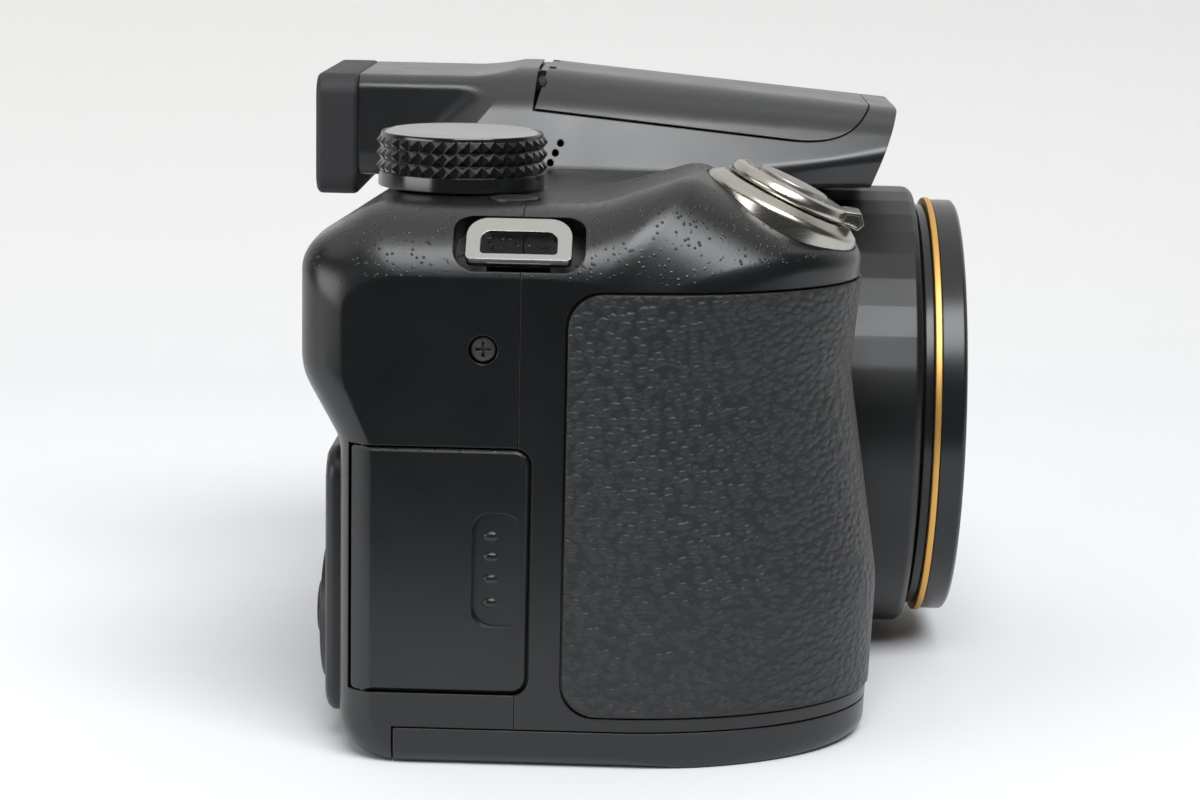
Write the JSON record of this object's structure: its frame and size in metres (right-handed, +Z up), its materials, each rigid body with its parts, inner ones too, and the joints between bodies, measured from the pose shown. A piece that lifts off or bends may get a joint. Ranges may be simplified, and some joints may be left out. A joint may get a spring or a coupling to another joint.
{
  "type": "bridge camera",
  "caption": "Compact bridge camera with a deep rubber-skinned grip, telescoping zoom lens, pop-up flash, eye-level finder, mode dial and side card door.",
  "frame": {"origin": "centre of the tripod socket's mouth on the flat base, under the lens axis", "axes": "+Z up, the lens looks along -Y, the hand grip is on the -X side"},
  "size_m": [0.1198, 0.0977, 0.0882],
  "materials": {
    "shell_plastic": "fine textured satin near-black",
    "hump_plastic": "satin dark grey",
    "grip_rubber": "leather grain, matt",
    "panel_plastic": "satin black",
    "screen_glass": "polished dark",
    "screen_panel": "display",
    "bright_metal": "polished nickel",
    "screw_steel": "black screws",
    "barrel_plastic": "satin dark grey",
    "inner_plastic": "matt black",
    "ring_plastic": "glossy black",
    "gold_trim": "polished gold",
    "lens_glass": "coated glass",
    "pin_steel": "ground",
    "motor_metal": "plain",
    "circuit_board": "green laminate",
    "card_plastic": "moulded",
    "cell_can": "printed sleeve left plain",
    "gloss_black": "gloss",
    "dial_metal": "brushed",
    "lever_chrome": "warm polished",
    "button_metal": "turned",
    "button_plastic": "satin",
    "reflector_mirror": "mirror",
    "lamp_glass": "clear",
    "eyecup_rubber": "soft matt",
    "af_glass": "tinted lens"
  },
  "bodies": {
    "camera_body": {"front_shell": "shell_plastic", "rear_shell": "shell_plastic", "top_cover": "hump_plastic", "grip_skin": "grip_rubber", "rear_panel": "panel_plastic", "lcd_window": "screen_glass", "lcd_module": "screen_panel", "tripod_socket": "bright_metal", "strap_lugs": "bright_metal", "case_screws": "screw_steel", "fixed_barrel": "barrel_plastic", "lens_housing": "inner_plastic", "shutter_unit": "inner_plastic", "guide_rods": "pin_steel", "zoom_motor": "motor_metal", "image_sensor": "circuit_board", "main_board": "circuit_board", "card_slot": "motor_metal", "memory_card": "card_plastic", "card_door_pin": "pin_steel", "battery_case": "inner_plastic", "battery_cells": "cell_can", "zoom_plate": "lever_chrome", "flash_pin": "pin_steel", "eyecup": "eyecup_rubber", "eyepiece_lens": "lens_glass", "evf_display": "screen_panel", "port_jacks": "motor_metal", "af_lamp": "af_glass"},
    "mid_stage": {"mid_barrel": "inner_plastic", "zoom_cell": "inner_plastic", "zoom_lens": "lens_glass"},
    "front_stage": {"front_barrel": "inner_plastic", "front_ring": "ring_plastic", "accent_ring": "gold_trim", "lens_bezel": "inner_plastic", "front_element": "lens_glass"},
    "focus_stage": {"focus_cell": "inner_plastic", "focus_lens": "lens_glass"},
    "card_door": {"card_door": "shell_plastic"},
    "battery_link": {"battery_hinge": "pin_steel"},
    "battery_door": {"battery_door": "shell_plastic"},
    "mode_dial": {"mode_dial": "gloss_black", "mode_dial_cap": "dial_metal"},
    "zoom_lever": {"zoom_lever": "lever_chrome"},
    "shutter_button": {"shutter_button": "button_metal"},
    "power_button": {"power_button": "button_plastic"},
    "flash_head": {"flash_cover": "hump_plastic", "flash_reflector": "reflector_mirror", "flash_tube": "lamp_glass", "flash_window": "lamp_glass"},
    "flash_button": {"flash_button": "button_plastic"},
    "diopter_wheel": {"diopter_wheel": "button_plastic"},
    "video_button": {"video_button": "button_plastic"},
    "play_button": {"play_button": "button_plastic"},
    "menu_button": {"menu_button": "button_plastic"},
    "four_way_pad": {"four_way_pad": "button_plastic"},
    "ok_button": {"ok_button": "button_plastic"},
    "port_cover": {"port_cover": "eyecup_rubber"}
  },
  "joints": [
    {"name": "zoom_stage_one", "type": "slide", "parent": "camera_body", "child": "mid_stage", "axis": [0, -1, 0], "range_m": [0, 0.024]},
    {"name": "zoom_stage_two", "type": "slide", "parent": "mid_stage", "child": "front_stage", "axis": [0, -1, 0], "range_m": [0, 0.024]},
    {"name": "focus_slide", "type": "slide", "parent": "camera_body", "child": "focus_stage", "axis": [0, -1, 0], "range_m": [-0.0025, 0.0025]},
    {"name": "card_door_swing", "type": "hinge", "parent": "camera_body", "child": "card_door", "pos_m": [-0.07692, 0.0344, 0.0266], "axis": [0, 0, -1], "range_deg": [0, 95]},
    {"name": "battery_door_slide", "type": "slide", "parent": "camera_body", "child": "battery_link", "axis": [-1, 0, 0], "range_m": [0, 0.004]},
    {"name": "battery_door_swing", "type": "hinge", "parent": "battery_link", "child": "battery_door", "pos_m": [-0.048, 0.005, 0.00145], "axis": [0, -1, 0], "range_deg": [0, 95]},
    {"name": "mode_dial_turn", "type": "hinge", "parent": "camera_body", "child": "mode_dial", "pos_m": [-0.0508, 0.0239, 0.078], "axis": [0, 0, 1], "continuous": true},
    {"name": "zoom_lever_turn", "type": "hinge", "parent": "camera_body", "child": "zoom_lever", "pos_m": [-0.057, -0.02015, 0.0732], "axis": [0, -0.4226, 0.9063], "range_deg": [-20, 20], "stiffness_Nm_per_rad": 0.03},
    {"name": "shutter_press", "type": "slide", "parent": "camera_body", "child": "shutter_button", "axis": [0, 0.4226, -0.9063], "range_m": [0, 0.001], "stiffness_N_per_m": 500},
    {"name": "power_press", "type": "slide", "parent": "camera_body", "child": "power_button", "axis": [0, 0, -1], "range_m": [0, 0.0005], "stiffness_N_per_m": 400},
    {"name": "flash_lift", "type": "hinge", "parent": "camera_body", "child": "flash_head", "pos_m": [0, 0.0146, 0.0863], "axis": [-1, 0, 0], "range_deg": [0, 40]},
    {"name": "flash_button_press", "type": "slide", "parent": "camera_body", "child": "flash_button", "axis": [-1, 0, 0], "range_m": [0, 0.0005], "stiffness_N_per_m": 400},
    {"name": "diopter_turn", "type": "hinge", "parent": "camera_body", "child": "diopter_wheel", "pos_m": [0.0164, 0.032, 0.0785], "axis": [1, 0, 0], "range_deg": [-150, 150]},
    {"name": "video_press", "type": "slide", "parent": "camera_body", "child": "video_button", "axis": [0, -1, 0], "range_m": [0, 0.0005], "stiffness_N_per_m": 400},
    {"name": "play_press", "type": "slide", "parent": "camera_body", "child": "play_button", "axis": [0, -1, 0], "range_m": [0, 0.0005], "stiffness_N_per_m": 400},
    {"name": "menu_press", "type": "slide", "parent": "camera_body", "child": "menu_button", "axis": [0, -1, 0], "range_m": [0, 0.0005], "stiffness_N_per_m": 400},
    {"name": "ok_press", "type": "slide", "parent": "camera_body", "child": "ok_button", "axis": [0, -1, 0], "range_m": [0, 0.0005], "stiffness_N_per_m": 400},
    {"name": "pad_rock", "type": "hinge", "parent": "camera_body", "child": "four_way_pad", "pos_m": [-0.056, 0.039, 0.0155], "axis": [1, 0, 0], "range_deg": [-2.5, 2.5], "stiffness_Nm_per_rad": 0.05},
    {"name": "port_cover_swing", "type": "hinge", "parent": "camera_body", "child": "port_cover", "pos_m": [0.03935, 0.0172, 0.033], "axis": [0, 0, -1], "range_deg": [0, 100]}
  ],
  "couplings": [
    {"joint": "zoom_stage_two", "follows": "zoom_stage_one", "ratio": 1}
  ]
}
